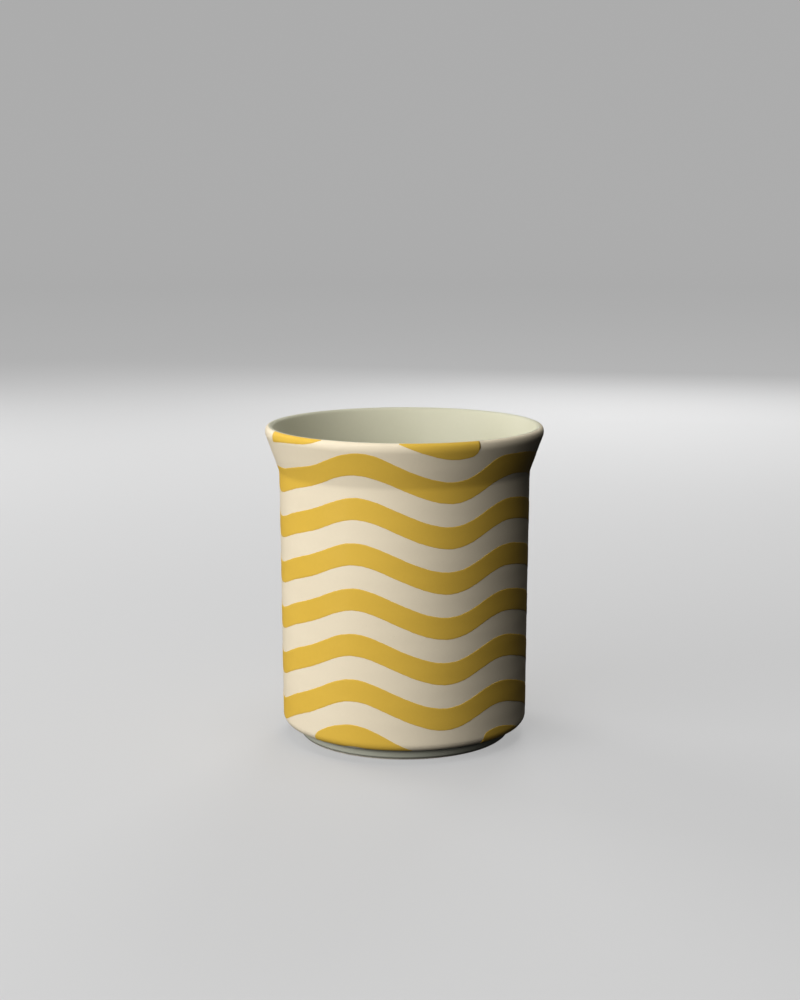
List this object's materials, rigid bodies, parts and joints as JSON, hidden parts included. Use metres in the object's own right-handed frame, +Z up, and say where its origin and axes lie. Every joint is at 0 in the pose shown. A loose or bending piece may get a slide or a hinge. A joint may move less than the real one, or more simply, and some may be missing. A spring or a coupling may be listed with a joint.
{
  "type": "ceramic mug",
  "caption": "Handle-less ceramic mug: straight body, flared rounded rim, set-in foot ring, pale green glaze inside, cream outside with wavy yellow bands.",
  "frame": {"origin": "centre of the foot ring's resting face, on the surface that the mug stands on", "axes": "+Z up along the mug's axis, -Y to the front of the wavy print, +X to the right as seen from the front"},
  "size_m": [0.0888, 0.0889, 0.1007],
  "materials": {
    "bisque_clay": "unglazed, matt, seen only at the dry foot",
    "slip": "unglazed, matt, hidden in the joint",
    "pale_green_glaze": "smooth satin glaze",
    "cream_glaze": "smooth satin glaze",
    "yellow_enamel": "smooth satin printed enamel"
  },
  "bodies": {
    "root": {"clay_body": "bisque_clay", "foot_ring": "bisque_clay", "slip_seam": "slip", "liner_glaze": "pale_green_glaze", "cream_coat": "cream_glaze", "foot_glaze": "pale_green_glaze", "base_glaze": "pale_green_glaze", "yellow_wave_1": "yellow_enamel", "yellow_wave_2": "yellow_enamel", "yellow_wave_3": "yellow_enamel", "yellow_wave_4": "yellow_enamel", "yellow_wave_5": "yellow_enamel", "yellow_wave_6": "yellow_enamel", "yellow_wave_7": "yellow_enamel", "yellow_wave_8": "yellow_enamel"}
  },
  "joints": []
}
